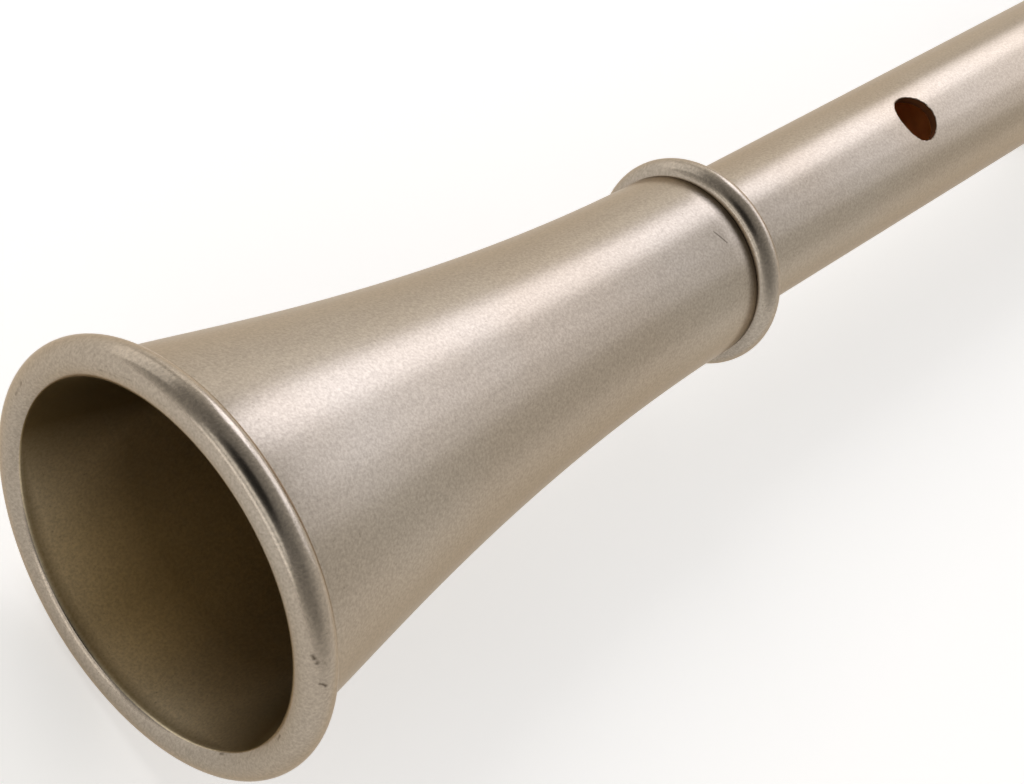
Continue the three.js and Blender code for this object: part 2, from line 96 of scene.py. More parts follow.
# Its crown is drawn in steps, and the turned lines are at two of them.
END_RING_STEPS = 48
END_RING_LINED = (17, 31)
END_RING_LINE = 0.18 * MM

# Radii of the finger holes from the bell up, in millimetres.
FINGER_HOLES = (3.2, 3.5, 3.2, 3.6, 3.6, 3.3, 3.1)
HOLE_RADII = {f"finger_hole_{i}": radius * MM for i, radius in enumerate(FINGER_HOLES, 1)}
HOLE_RADII["thumb_hole"] = 3.1 * MM
# A hole's edge is eased in steps, each so much wider than the hole and so deep in the wall.
HOLE_EASES = ((0.1 * MM, 0.22 * MM), (0.22 * MM, 0.08 * MM))
BURR_SETBACK = 0.17 * MM
BURR_RADIUS = 0.06 * MM
BURR_SUNK = 0.05 * MM
BURR_RAGGED = 0.05 * MM

TENON_START, TENON_END = ends("tenon")
SHOULDER_RADIUS = radius_of("tenon")
SHOULDER_WIDTH = 3.7 * MM
SHOULDER_NOSE = 1 * MM
SHOULDER_SEAM = 0.12 * MM
SHOULDER_LINE = 0.2 * MM
TENON_RADIUS = 7.6 * MM
TENON_BORE_RADIUS = 6.6 * MM
CORK_START, CORK_END = ends("tenon_cork")
CORK_RADIUS = radius_of("tenon_cork")
CORK_BARREL = 0.12 * MM
CORK_EASE = 0.5 * MM
CORK_EASED_SHARE = 1 / 14
CORK_JOINT_SLANT = radians(14)
CORK_JOINT_WIDTH = 0.12 * MM
CORK_JOINT_DEPTH = 0.25 * MM

SHANK_END, TIP = ends("mouthpiece")
MOUTHPIECE_LENGTH = TIP - SHANK_END
SHANK_RADIUS = radius_of("mouthpiece")
SHANK_LENGTH = 10 * MM
NOSE_RADIUS = 9.2 * MM
SOCKET_RADIUS = 8.75 * MM
SOCKET_DEPTH = 18.2 * MM
TABLE_SPARE = 2 * MM
TABLE_DEPTH = 3 * MM
LAY_LENGTH = 18 * MM
TIP_OPENING = 1.4 * MM
TIP_RAIL = 1.2 * MM
TIP_EDGE = 1 * MM
TIP_ARC_RADIUS = 13 * MM
BEAK_LENGTH = 36 * MM
BEAK_HOLLOW = 0.6 * MM
BEAK_WALL = 3.6 * MM
WINDOW_LENGTH = 36 * MM
WINDOW_HALF = 5.2 * MM
CHAMBER_ROUNDING = 0.5 * MM
SHANK_EASE = 0.4 * MM
SOCKET_CHAMFER = 0.6 * MM
# Turned grooves, by their distances from the shank end in millimetres.
GROOVES = (8, 15, 16)
GROOVE_HALF = 0.3 * MM
GROOVE_DEPTH = 0.25 * MM
MOUTHPIECE_RING_RADIUS = radius_of("mouthpiece_ring")
# The ring's outside is drawn in steps, and its two lines are at a quarter and three quarters.
RING_STEPS = 40
RING_LINED = (10, 30)
RING_LINE = 0.15 * MM
RING_EASE = 0.3 * MM
RING_EDGE_SHARPNESS = 12

REED_HEEL = ends("reed")[0] - SHANK_END
REED_HEEL_HALF = 5.75 * MM
REED_TIP_HALF = 6.8 * MM
REED_VAMP = 34 * MM
REED_TIP_THICKNESS = 0.25 * MM
TABLE_START = REED_HEEL - TABLE_SPARE

BAND_START, BAND_END = (end - SHANK_END for end in ends("ligature_band"))
BAND_CLEARANCE = 0.45 * MM
BAND_SHEET = 0.8 * MM
BAND_SPLIT_HALF = 3.4 * MM
BAND_SEAM = 0.12 * MM
BAND_RIB = 0.3 * MM
# Where the ribs are and how wide, as shares of the band's width.
BAND_RIB_SHARES = (0.2, 0.5, 0.8)
BAND_RIB_HALF_SHARE = 0.06
BAND_EASE = 0.25 * MM
BAND_EDGE_SHARPNESS = 24
POST_LENGTH = 4.6 * MM
POST_RADIUS = 2 * MM
POST_NECK_HALF = 1.6 * MM
PLAIN_POST_PLAY = 0.3 * MM
THREADED_POST_PLAY = 0.05 * MM
SCREW_RADIUS = 1 * MM
SCREW_HEAD_RADIUS = 4 * MM
SCREW_HEAD_LENGTH = 3.5 * MM
SCREW_LOBES = 16
SCREW_LOBE_DEPTH = 0.35 * MM
SCREW_PITCH = 0.4 * MM
THREAD_DEPTH = 0.2 * MM
SCREW_POINT_EASE = 0.25 * MM
SCREW_PLAIN_LENGTH = 3.5 * MM
SCREW_SHOULDER_RADIUS = 2.4 * MM
SCREW_SHOULDER_WIDTH = 0.3 * MM
DISH_RADIUS = 2.6 * MM

HOOK_LOW, HOOK_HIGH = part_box("thumb_hook")
HOOK_STRIP = 2.2 * MM
HOOK_BEND = 5.1 * MM
HOOK_FOOT = 10.9 * MM
HOOK_CURL = radians(60)
PLATE_SHEET = 1 * MM
LUG_FIN_HALF = 1.1 * MM
LUG_EYE_RADIUS = 2.4 * MM
LUG_HOLE_RADIUS = 1.3 * MM
LUG_HOLE_HEIGHT = AXIS_HEIGHT - TUBE_RADIUS - 2.9 * MM
STRAP_WIRE_RADIUS = 0.8 * MM
STRAP_JOINT_RADIUS = 1.08 * STRAP_WIRE_RADIUS
STRAP_JOINT_ANGLE = 0.9

# Steps round a large turned piece, a small one and a section of the mouthpiece, and along
# the profile of the bell and its bead.
LARGE_TURN = 160
SMALL_TURN = 64
SECTION_STEPS = 96
BELL_STEPS = 44
BEAD_STEPS = 48
OUTSIDE_CROWDING = 1.7
INSIDE_CROWDING = 1.5
# A cutter of this size reaches past every piece.
FAR = 60 * MM
# Points closer than this are merged.
SAME_POINT = 0.002 * MM
# A face whose middle is this close to a surface belongs to it.
ON_SURFACE = 0.1 * MM


# Making shapes

def take(piece):
    """Selects one object alone and makes it the active one."""
    bpy.ops.object.select_all(action="DESELECT")
    piece.select_set(True)
    bpy.context.view_layer.objects.active = piece


def place_in_mesh(piece):
    take(piece)
    bpy.ops.object.transform_apply(location=True, rotation=True, scale=True)


def apply(piece, kind, **settings):
    """Adds one modifier with its settings and applies it."""
    take(piece)
    modifier = piece.modifiers.new(kind.lower(), kind)
    for name, value in settings.items():
        setattr(modifier, name, value)
    bpy.ops.object.modifier_apply(modifier=modifier.name)


def cut(piece, tool, operation="DIFFERENCE"):
    """Cuts a piece with a tool, or joins or keeps what they share, and takes the tool away."""
    apply(piece, "BOOLEAN", object=tool, operation=operation, solver="EXACT")
    bpy.data.objects.remove(tool)


def joined(pieces):
    take(pieces[0])
    for piece in pieces:
        piece.select_set(True)
    bpy.ops.object.join()
    return pieces[0]


def round_edges(piece, radius, segments=2, sharper_than=35):
    """Gives every edge that is sharper than an angle a small radius."""
    size = {"width": radius, "segments": segments, "use_clamp_overlap": True}
    apply(piece, "BEVEL", limit_method="ANGLE", angle_limit=radians(sharper_than), **size)


def select_mesh():
    bpy.ops.mesh.select_all(action="SELECT")


def start_edit():
    """Goes into edit mode with the whole mesh selected."""
    bpy.ops.object.mode_set(mode="EDIT")
    select_mesh()


def end_edit():
    """Turns every face outwards and leaves edit mode."""
    select_mesh()
    bpy.ops.mesh.normals_make_consistent(inside=False)
    bpy.ops.object.mode_set(mode="OBJECT")


def merge_points():
    select_mesh()
    bpy.ops.mesh.remove_doubles(threshold=SAME_POINT)


def close_ends():
    select_mesh()
    bpy.ops.mesh.fill_holes(sides=0)


def wire(name, points):
    """A line of edges: one vertex, extruded from point to point."""
    bpy.ops.mesh.primitive_plane_add(size=MM, location=points[0])
    line = bpy.context.object
    line.name = name
    start_edit()
    bpy.ops.mesh.merge(type="CENTER")
    for here, there in zip(points, points[1:]):
        bpy.ops.mesh.extrude_region_move(TRANSFORM_OT_translate={"value": there - here})
    bpy.ops.object.mode_set(mode="OBJECT")
    place_in_mesh(line)
    return line


def turned(name, profile, steps=LARGE_TURN, centre=AXIS, along=X, start=Z, sweep=2 * pi):
    """A turned piece. Its profile is pairs of place along the centre line and radius."""
    points = [centre + along * place + start * radius for place, radius in profile]
    piece = wire(name, points)
    start_edit()
    bpy.ops.mesh.spin(steps=steps, angle=sweep, center=centre, axis=along)
    merge_points()
    close_ends()
    end_edit()
    return piece


def sleeve(name, outside, inner, **settings):
    """A turned piece with a straight bore, from the profile of its outside."""
    start, stop = outside[0][0], outside[-1][0]
    return turned(name, [(start, inner)] + outside + [(stop, inner), (start, inner)], **settings)


def rod(name, start, stop, radius, **settings):
    """A plain turned cylinder, to cut with."""
    return turned(name, [(start, 0), (start, radius), (stop, radius), (stop, 0)], **settings)


def prism(name, outline, across, start, stop):
    """A closed outline filled and pulled out straight along Y or Z, from start to stop. Its
    points are places along the tube, with heights above its axis for Y or a plan for Z."""
    base, up = (AXIS, Z) if across == Y else (Vector(), Y)
    points = [base + X * place + up * rise + across * start for place, rise in outline]
    piece = wire(name, points)
    start_edit()
    bpy.ops.mesh.edge_face_add()
    bpy.ops.mesh.extrude_region_move(TRANSFORM_OT_translate={"value": across * (stop - start)})
    end_edit()
    return piece


def lofted(name, sections):
    """A skin bridged over closed sections that follow each other, and closed at both ends."""
    piece = joined([wire(name, section + section[:1]) for section in sections])
    start_edit()
    merge_points()
    select_mesh()
    bpy.ops.mesh.bridge_edge_loops()
    close_ends()
    end_edit()
    return piece


def spaced(start, stop, steps):
    return [start + (stop - start) * i / steps for i in range(steps + 1)]


def arc(centre, radius, start, stop, steps):
    """Points along an arc, from one angle to another."""
    x, y = centre
    angles = spaced(start, stop, steps)
    return [(x + radius * cos(a), y + radius * sin(a)) for a in angles]


def rounded_rectangle(left, right, half, corner):
    """Plan outline with round corners."""
    x_low, x_high, y_high = left + corner, right - corner, half - corner
    centres = [(x_high, y_high), (x_low, y_high), (x_low, -y_high), (x_high, -y_high)]
    outline = []
    for i, centre in enumerate(centres):
        outline += arc(centre, corner, i * pi / 2, (i + 1) * pi / 2, 8)
    return outline


def from_axis(point):
    return hypot(point.y, point.z - AXIS_HEIGHT)


def paint(piece, index, is_there):
    """Gives one material to the faces whose middle is in some place."""
    for face in piece.data.polygons:
        if is_there(face.center):
            face.material_index = index


def put_on(piece, node, materials, body="body", smooth_below=40):
    """Smooths a finished piece where its faces meet at less than an angle, and seats it on its
    body, in place of the plain solid that it stands for."""
    take(piece)
    bpy.ops.object.shade_smooth_by_angle(angle=radians(smooth_below))
    place_in_mesh(piece)
    painted = [face.material_index for face in piece.data.polygons]
    piece.data.materials.clear()
    for material in materials:
        piece.data.materials.append(material)
    piece.data.polygons.foreach_set("material_index", painted)
    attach(piece, body)
    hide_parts(node)


# Materials

def colour(hex_code):
    """An sRGB hex colour as linear values."""
    parts = [int(hex_code[i:i + 2], 16) / 255 for i in (1, 3, 5)]
    linear = [p / 12.92 if p <= 0.04045 else ((p + 0.055) / 1.055) ** 2.4 for p in parts]
    return (*linear, 1)


def feed(tree, node, inputs):
    """Gives a node its inputs. Each is a value, a hex colour or a socket to link from."""
    for name, value in inputs.items():
        if isinstance(value, bpy.types.NodeSocket):
            tree.links.new(value, node.inputs[name])
        else:
            plain = colour(value) if isinstance(value, str) else value
            node.inputs[name].default_value = plain


def add(tree, kind, inputs=None, **settings):
    """Adds one node with its settings and its inputs."""
    made = tree.nodes.new(kind)
    for name, value in settings.items():
        setattr(made, name, value)
    feed(tree, made, inputs or {})
    return made


def math_step(tree, operation, first, second):
    """One step of arithmetic on two values."""
    inputs = {0: first, 1: second}
    return add(tree, "ShaderNodeMath", inputs, operation=operation).outputs["Value"]


def vector_step(tree, operation, first, second):
    """One step of arithmetic on two vectors. A distance or a dot product gives a value."""
    made = add(tree, "ShaderNodeVectorMath", {0: first, 1: second}, operation=operation)
    return made.outputs["Value" if operation in ("DISTANCE", "DOT_PRODUCT") else "Vector"]


def parts_of(tree, vector):
    return add(tree, "ShaderNodeSeparateXYZ", {"Vector": vector}).outputs


def new_material(name):
    material = bpy.data.materials.new(name)
    material.use_nodes = True
    tree = material.node_tree
    shader = tree.nodes["Principled BSDF"]
    place = add(tree, "ShaderNodeTexCoord").outputs["Object"]
    return material, tree, shader, place


def per(millimetres):
    """Scale of a pattern whose features are this many millimetres apart."""
    return 1 / (millimetres * MM)


def noise(tree, place, size, detail=2, roughness=0.5):
    """Noise with features of a size in millimetres."""
    inputs = {"Vector": place, "Scale": per(size), "Detail": detail, "Roughness": roughness}
    return add(tree, "ShaderNodeTexNoise", inputs).outputs["Fac"]


def span(tree, value, low, high, to_low, to_high):
    """Maps a value from one range to another, held at its ends."""
    limits = {"From Min": low, "From Max": high, "To Min": to_low, "To Max": to_high}
    return add(tree, "ShaderNodeMapRange", {"Value": value, **limits}).outputs["Result"]


def mixed(tree, share, first, second, blend="MIX"):
    """Mixes two colours by a share."""
    inputs = {0: share, 6: first, 7: second}
    return add(tree, "ShaderNodeMix", data_type="RGBA", blend_type=blend, inputs=inputs).outputs[2]


def two_tone(tree, pattern, first, second):
    """Drifts between two tones with a noise pattern."""
    return mixed(tree, span(tree, pattern, 0.35, 0.65, 0, 1), first, second)


def stretched(tree, place, scale):
    return add(tree, "ShaderNodeMapping", {"Vector": place, "Scale": scale}).outputs["Vector"]


def bumped(tree, shader, height, depth, strength=1.0):
    """Sends a height to the shader's normal. Depth is in millimetres."""
    inputs = {"Height": height, "Distance": depth * MM, "Strength": strength}
    normal = add(tree, "ShaderNodeBump", inputs).outputs["Normal"]
    tree.links.new(normal, shader.inputs["Normal"])


def near_line(tree, place, start, end, reach):
    """1 along a straight line, falling to 0 at a reach in millimetres."""
    way = end - start
    along = tuple(way.normalized())
    here = vector_step(tree, "SUBTRACT", place, tuple(start))
    ahead = vector_step(tree, "DOT_PRODUCT", here, along)
    held = span(tree, ahead, 0, way.length, 0, way.length)
    foot = vector_step(tree, "MULTIPLY", along, held)
    return span(tree, vector_step(tree, "DISTANCE", here, foot), 0, reach * MM, 1, 0)


def near_ring(tree, place, x, radius, reach):
    """1 along a circle round the tube, falling to 0 at a reach in millimetres."""
    here = vector_step(tree, "SUBTRACT", place, (x, 0, AXIS_HEIGHT))
    ahead = parts_of(tree, here)["X"]
    across = vector_step(tree, "MULTIPLY", here, (0, 1, 1))
    out = vector_step(tree, "DISTANCE", across, (0, 0, 0))
    beyond = math_step(tree, "SUBTRACT", out, radius)
    pair = add(tree, "ShaderNodeCombineXYZ", {"X": ahead, "Y": beyond}).outputs["Vector"]
    return span(tree, vector_step(tree, "DISTANCE", pair, (0, 0, 0)), 0, reach * MM, 1, 0)


def most(tree, shares):
    """The largest of some shares."""
    largest = shares[0]
    for share in shares[1:]:
        largest = math_step(tree, "MAXIMUM", largest, share)
    return largest


def satin_plate(name, plain, warm, roughness, grain_depth, soil_and_shade=None, dirt_and_shade="#3A2E22"):
    """Brass blasted with fine beads, then nickel-plated in a champagne tone. The blasting gives
    a fine even grain that sparkles where light meets shade. It is a tenth of a millimetre
    across on the real one, and drawn at three tenths so that it shows. The function
    soil_and_shade gives the share at a place of the colour dirt_and_shade: real dirt and
    scuffs, and on the bell and inside it painted shade as well."""
    material, tree, shader, place = new_material(name)
    grain = noise(tree, place, 0.3, roughness=0.65)
    pits = noise(tree, place, 0.4, detail=1)
    cloud = noise(tree, place, 26)
    drift = two_tone(tree, cloud, plain, warm)
    speckle = span(tree, grain, 0.32, 0.68, 0.85, 1.15)
    base = mixed(tree, 1.0, drift, speckle, "MULTIPLY")
    base = mixed(tree, span(tree, pits, 0.28, 0.2, 0, 0.3), base, "#5E5244")
    # Lays the dark colour on the plate: real marks, and on the bell and inside it painted shade.
    if soil_and_shade:
        base = mixed(tree, soil_and_shade(tree, place), base, dirt_and_shade)
    feed(tree, shader, {"Base Color": base, "Roughness": roughness, "Metallic": 1})
    # The blasted surface shades itself when seen along it, so its edges stay dark and warm.
    feed(tree, shader, {"Specular Tint": "#E9DCCB"})
    bumped(tree, shader, grain, grain_depth)
    return material


def bare_bore(name, fresh, browned):
    """Red brass inside the tube, left as drawn or drilled: dull, browned and reddish."""
    material, tree, shader, place = new_material(name)
    stain = noise(tree, place, 3, detail=4, roughness=0.6)
    base = two_tone(tree, stain, fresh, browned)
    gloss = span(tree, stain, 0.3, 0.7, 0.5, 0.65)
    feed(tree, shader, {"Base Color": base, "Roughness": gloss, "Metallic": 0.3})
    feed(tree, shader, {"Specular Tint": "#D98A52"})
    bumped(tree, shader, noise(tree, place, 0.3), 0.01)
    return material


def lacquered_brass():
    """Polished brass sheet under clear lacquer, with faint polishing lines and finger haze."""
    material, tree, shader, place = new_material("lacquered brass")
    haze = noise(tree, place, 5, detail=3)
    base = two_tone(tree, haze, "#D9B872", "#C9A25C")
    gloss = span(tree, haze, 0.3, 0.7, 0.2, 0.32)
    feed(tree, shader, {"Base Color": base, "Roughness": gloss, "Metallic": 1.0})
    feed(tree, shader, {"Coat Weight": 0.5, "Coat Roughness": 0.15})
    lines = noise(tree, stretched(tree, place, (0.15, 1, 1)), 0.25)
    bumped(tree, shader, lines, 0.006)
    return material


def ebonite():
    """Black hard rubber, turned and buffed: a soft gloss with fine buffing lines and a faint
    brown cast where it has met light."""
    material, tree, shader, place = new_material("ebonite")
    bloom = noise(tree, place, 14)
    base = two_tone(tree, bloom, "#17171A", "#221E1B")
    smear = noise(tree, place, 4, detail=4, roughness=0.6)
    gloss = span(tree, smear, 0.3, 0.7, 0.22, 0.29)
    feed(tree, shader, {"Base Color": base, "Roughness": gloss, "IOR": 1.6})
    lines = noise(tree, stretched(tree, place, (1, 0.12, 0.12)), 0.3)
    bumped(tree, shader, lines, 0.001)
    return material


def cane(name, pale, dark, roughness, fibre_depth):
    """Reed cane. Its fibres run along the reed, a third of a millimetre apart."""
    material, tree, shader, place = new_material(name)
    along = stretched(tree, place, (0.03, 1, 0.35))
    fibre = noise(tree, along, 0.33, detail=3, roughness=0.6)
    blotch = noise(tree, place, 11)
    base = mixed(tree, span(tree, fibre, 0.32, 0.68, 0, 1), dark, pale)
    mottled = mixed(tree, span(tree, blotch, 0.45, 0.7, 0, 0.35), base, "#B98F4E")
    gloss = span(tree, fibre, 0.3, 0.7, roughness + 0.1, roughness)
    feed(tree, shader, {"Base Color": mottled, "Roughness": gloss})
    bumped(tree, shader, fibre, fibre_depth)
    return material


def sheet_cork():
    """Sheet cork, sanded and greased: tan granules just under a millimetre across, with dark
    pores between them."""
    material, tree, shader, place = new_material("sheet cork")
    grains = add(tree, "ShaderNodeTexVoronoi", {"Vector": place, "Scale": per(0.8)})
    pores = noise(tree, place, 0.6, detail=4, roughness=0.7)
    tone = add(tree, "ShaderNodeSeparateColor", {"Color": grains.outputs["Color"]})
    tan = mixed(tree, tone.outputs["Red"], "#C4975F", "#B4864F")
    base = mixed(tree, span(tree, pores, 0.6, 0.68, 0, 0.8), tan, "#5A3A20")
    feed(tree, shader, {"Base Color": base, "Roughness": 0.75})
    bumped(tree, shader, pores, 0.12, strength=0.6)
    return material


# The plate's two tones, which drift into each other.
CHAMPAGNE = ("#A49A8D", "#A29687")

plate = satin_plate("satin nickel plate", *CHAMPAGNE, 0.28, 0.007)
burnished_plate = satin_plate("burnished nickel plate", *CHAMPAGNE, 0.25, 0.004)
# The bore is drawn far lighter than the same brass on the hole wall: painted light inside the
# tube.
bore_brass_painted_lit = bare_bore("browned red brass bore, painted lit", "#EDA757", "#DC9A50")
hole_brass = bare_bore("browned red brass hole wall", "#6E452A", "#55341F")
band_brass = lacquered_brass()
rubber = ebonite()
cane_bark = cane("cane bark", "#DDBF7E", "#B98C48", 0.28, 0.01)
cane_cut = cane("cut cane", "#EBD6A6", "#C9A566", 0.5, 0.04)
tenon_cork = sheet_cork()


# Bell

BEAD_CENTRE = (BELL_MOUTH + BEAD_RADIUS, RIM_RADIUS - BEAD_RADIUS)


def on_bead(angle):
    x, radius = BEAD_CENTRE
    return x + BEAD_RADIUS * cos(angle), radius + BEAD_RADIUS * sin(angle)


NECK_PLACE, NECK_RADIUS = on_bead(BEAD_OUTSIDE_ANGLE)
LIP_PLACE, LIP_RADIUS = on_bead(BEAD_INSIDE_ANGLE)
SEAT_PLACE = TUBE_START - SOLDER_GAP


def bell_outside(x):
    """Outer radius at a place: a parabola, drawn in a little where it meets the bead."""
    to_mouth = (BELL_END - x) / (BELL_END - NECK_PLACE)
    flare = NECK_RADIUS + NECK_DEPTH - THROAT_RADIUS
    return THROAT_RADIUS + flare * to_mouth ** 2 - NECK_DEPTH * to_mouth ** NECK_SHARPNESS


def bell_inside(x):
    to_mouth = (SEAT_PLACE - x) / (SEAT_PLACE - LIP_PLACE)
    return TUBE_BORE_RADIUS + (LIP_RADIUS - TUBE_BORE_RADIUS) * max(to_mouth, 0) ** INSIDE_CURVE


def on_bell(from_mouth, angle, radius):
    """A point by its place from the mouth and its radius in millimetres, and its angle from +Y."""
    turn = radians(angle)
    across = Vector((0, cos(turn), sin(turn))) * radius * MM
    return AXIS + X * (BELL_MOUTH + from_mouth * MM) + across


def bell_shade_and_scratch(tree, place):
    """Painted shade in the corner by the collar ring, and one hairline scratch."""
    corner = near_ring(tree, place, BELL_END, THROAT_RADIUS, 0.7)
    scratch = near_line(tree, place, on_bell(76.2, 93, 11.2), on_bell(77.1, 102, 11.2), 0.13)
    return span(tree, most(tree, [corner, scratch]), 0, 1, 0, 0.85)


# Each scuff or speck on the bead: where it starts and ends, and how wide it is.
SCUFFS = (
    ((0.1, 44, 20.1), (0.1, 50, 20.1), 0.16),
    ((0.1, 50, 20.3), (0.1, 56, 20.5), 0.12),
    ((0.5, 138, 21.5), (0.7, 140, 21.7), 0.3),
    ((0.9, 146, 21.8), (1.3, 147, 22), 0.28),
    ((0.1, -1, 20.2), (0.1, 5, 20.4), 0.2),
    ((0.6, -156, 18.8), (0.6, -153, 18.8), 0.2),
    ((0.2, 171, 19.4), (0.2, 173, 19.5), 0.2),
)


def bead_soil(tree, place):
    """Scuffs on the front of the bead, and specks where it was knocked."""
    lines = []
    for start, end, reach in SCUFFS:
        lines.append(near_line(tree, place, on_bell(*start), on_bell(*end), reach))
    broken = span(tree, noise(tree, place, 0.5), 0.42, 0.55, 0.2, 0.9)
    return math_step(tree, "MULTIPLY", most(tree, lines), broken)


def inner_tarnish_and_shade(tree, place):
    """Tarnish inside the bell, laid on as painted shade: thin low down just behind the lip, and
    thick overhead and towards the throat, with a soft dark line of painted shade along the lip."""
    edge = LIP_PLACE + 0.5 * MM
    lip = near_ring(tree, place, edge, bell_inside(edge), 1.2)
    parts = parts_of(tree, place)
    ahead, height = parts["X"], parts["Z"]
    # The painted shade deepens from here towards the throat.
    browned = BELL_MOUTH + 12 * MM
    behind_lip = span(tree, ahead, BELL_MOUTH + 4 * MM, browned, 0.05, 0.6)
    throat = span(tree, ahead, browned, SEAT_PLACE, 0, 0.95)
    overhead = span(tree, height, AXIS_HEIGHT - 13 * MM, AXIS_HEIGHT - 4 * MM, 0.05, 0.9)
    return most(tree, [span(tree, lip, 0, 1, 0, 0.6), behind_lip, throat, overhead])


# Tarnish colour, laid on inside the bell as tarnish and as painted shade.
TARNISH_AND_SHADE = "#79663E"
# The plate inside the bell is drawn much paler than outside: painted light where the tarnish is
# thin.
INSIDE_PLATE_PAINTED_LIT = ("#F2E3C6", "#E6D7B8")

bell_plate = satin_plate("satin nickel plate on the bell", *CHAMPAGNE, 0.28, 0.007, bell_shade_and_scratch)
bead_plate = satin_plate("burnished nickel plate on the bead", *CHAMPAGNE, 0.22, 0.003, bead_soil)
inner_plate = satin_plate(
    "nickel plate inside the bell, tarnished and painted shaded", *INSIDE_PLATE_PAINTED_LIT, 0.36, 0.006, inner_tarnish_and_shade, TARNISH_AND_SHADE
)


def make_bell():
    """Turned bell, its bead proud of the outside, with a socket for the tube at its throat."""
    # Points crowd towards the mouth, where both curves bend most.
    shares = spaced(0, 1, BELL_STEPS)
    outside = [NECK_PLACE + (1 - s) ** OUTSIDE_CROWDING * (BELL_END - NECK_PLACE) for s in shares]
    bead = arc(BEAD_CENTRE, BEAD_RADIUS, BEAD_OUTSIDE_ANGLE, BEAD_INSIDE_ANGLE, BEAD_STEPS)
    inside = [LIP_PLACE + s ** INSIDE_CROWDING * (SEAT_PLACE - LIP_PLACE) for s in shares]
    profile = [(x, bell_outside(x)) for x in outside[:-1]] + bead
    profile += [(x, bell_inside(x)) for x in inside[1:]]
    profile += [(SEAT_PLACE, TUBE_RADIUS + SOLDER_GAP), (BELL_END, TUBE_RADIUS + SOLDER_GAP)]
    piece = turned("bell_with_bead", profile + profile[:1])
    round_edges(piece, 0.2 * MM, segments=3)
    paint(piece, 1, lambda c: c.x > LIP_PLACE and from_axis(c) < bell_inside(c.x) + ON_SURFACE)

    def on_the_bead(centre):
        away = hypot(centre.x - BEAD_CENTRE[0], from_axis(centre) - BEAD_CENTRE[1])
        inside = centre.x > LIP_PLACE and from_axis(centre) < LIP_RADIUS + ON_SURFACE
        return abs(away - BEAD_RADIUS) < 0.8 * ON_SURFACE and not inside

    paint(piece, 2, on_the_bead)
    put_on(piece, "bell", [bell_plate, inner_plate, bead_plate])


# Rings on the tube

def make_collar_ring():
    """Half-round ring pushed up against the bell and soldered."""
    half = (COLLAR_END - COLLAR_START) / 2
    centre = COLLAR_START + half
    front = centre - BELL_END - SOLDERED
    outside = []
    for angle in spaced(0, pi, 32):
        reach = front if angle < pi / 2 else half
        height = COLLAR_RADIUS - half * (1 - sin(angle))
        outside.append((centre - reach * cos(angle), height))
    piece = sleeve("collar_bead", outside, SLEEVE_RADIUS)
    put_on(piece, "collar_ring", [burnished_plate])


def make_end_ring():
    """Crowned ring on the upper end of the tube, with two fine turned lines."""
    middle = (END_RING_START + END_RING_END) / 2
    half = (END_RING_END - END_RING_START) / 2
    outside = []
    for i, angle in enumerate(spaced(0, pi, END_RING_STEPS)):
        x = middle - half * cos(angle)
        line = END_RING_LINE if i in END_RING_LINED else 0
        outside.append((x, END_RING_RADIUS - END_RING_CROWN * (1 - sin(angle)) - line))
    piece = sleeve("end_ring_with_lines", outside, SLEEVE_RADIUS)
    put_on(piece, "tube_end_ring", [burnished_plate], smooth_below=50)


# Body tube

def drilled_holes():
    """Each hole's place along the tube, its side (1 above, -1 below) and its radius."""
    for opening in frame["record"]["physics"]["openings"]:
        if opening["name"] in HOLE_RADII:
            low, high = (Vector(corner) for corner in opening["box_m"])
            middle = (low + high) / 2
            side = 1 if middle.z > AXIS_HEIGHT else -1
            yield middle.x, side, HOLE_RADII[opening["name"]]


def hole_cutter(wider, depth=None):
    """All the hole drills in one tool. With a depth, they reach only that far into the wall."""
    drills = []
    for x, side, radius in drilled_holes():
        place = Vector((x, 0, AXIS_HEIGHT + side * TUBE_RADIUS))
        bpy.ops.mesh.primitive_cylinder_add(
            vertices=SMALL_TURN, radius=radius + wider, depth=TUBE_RADIUS, location=place
        )
        drills.append(bpy.context.object)
    tool = joined(drills)
    place_in_mesh(tool)
    if depth is not None:
        cut(tool, rod("core", TUBE_START - FAR, TUBE_END + FAR, TUBE_RADIUS - depth))
    return tool


def make_burrs():
    """A thin ragged sliver of plated metal round each hole, bent over the tube."""
    burrs = []
    for x, side, radius in drilled_holes():
        bpy.ops.mesh.primitive_torus_add(
            location=(x, 0, 0),
            major_segments=90,
            minor_segments=6,
            major_radius=radius + BURR_SETBACK,
            minor_radius=BURR_RADIUS,
        )
        burr = bpy.context.object
        place_in_mesh(burr)
        for vertex in burr.data.vertices:
            on_tube = sqrt((TUBE_RADIUS - BURR_SUNK) ** 2 - vertex.co.y ** 2)
            vertex.co.z = AXIS_HEIGHT + side * (on_tube + vertex.co.z)
        start_edit()
        bpy.ops.transform.vertex_random(offset=BURR_RAGGED, seed=len(burrs))
        end_edit()
        burrs.append(burr)
    return burrs


def make_tube():
    """Drawn tube, drilled, its hole edges eased in steps finer than the eye sees, and a little
    ragged where the drill left a burr."""
    outside = [(TUBE_START, TUBE_RADIUS), (TUBE_END, TUBE_RADIUS)]
    piece = sleeve("drilled_tube", outside, TUBE_BORE_RADIUS, steps=192)
    cut(piece, hole_cutter(0))
    for wider, depth in HOLE_EASES:
        cut(piece, hole_cutter(wider, depth))
    piece = joined([piece] + make_burrs())
    paint(piece, 1, lambda c: from_axis(c) <= TUBE_BORE_RADIUS + ON_SURFACE)
    wall = (TUBE_BORE_RADIUS + ON_SURFACE, TUBE_RADIUS - ON_SURFACE)
    paint(piece, 2, lambda c: wall[0] < from_axis(c) < wall[1])
    put_on(piece, "body_tube", [plate, bore_brass_painted_lit, hole_brass], smooth_below=30)


# Tenon and cork

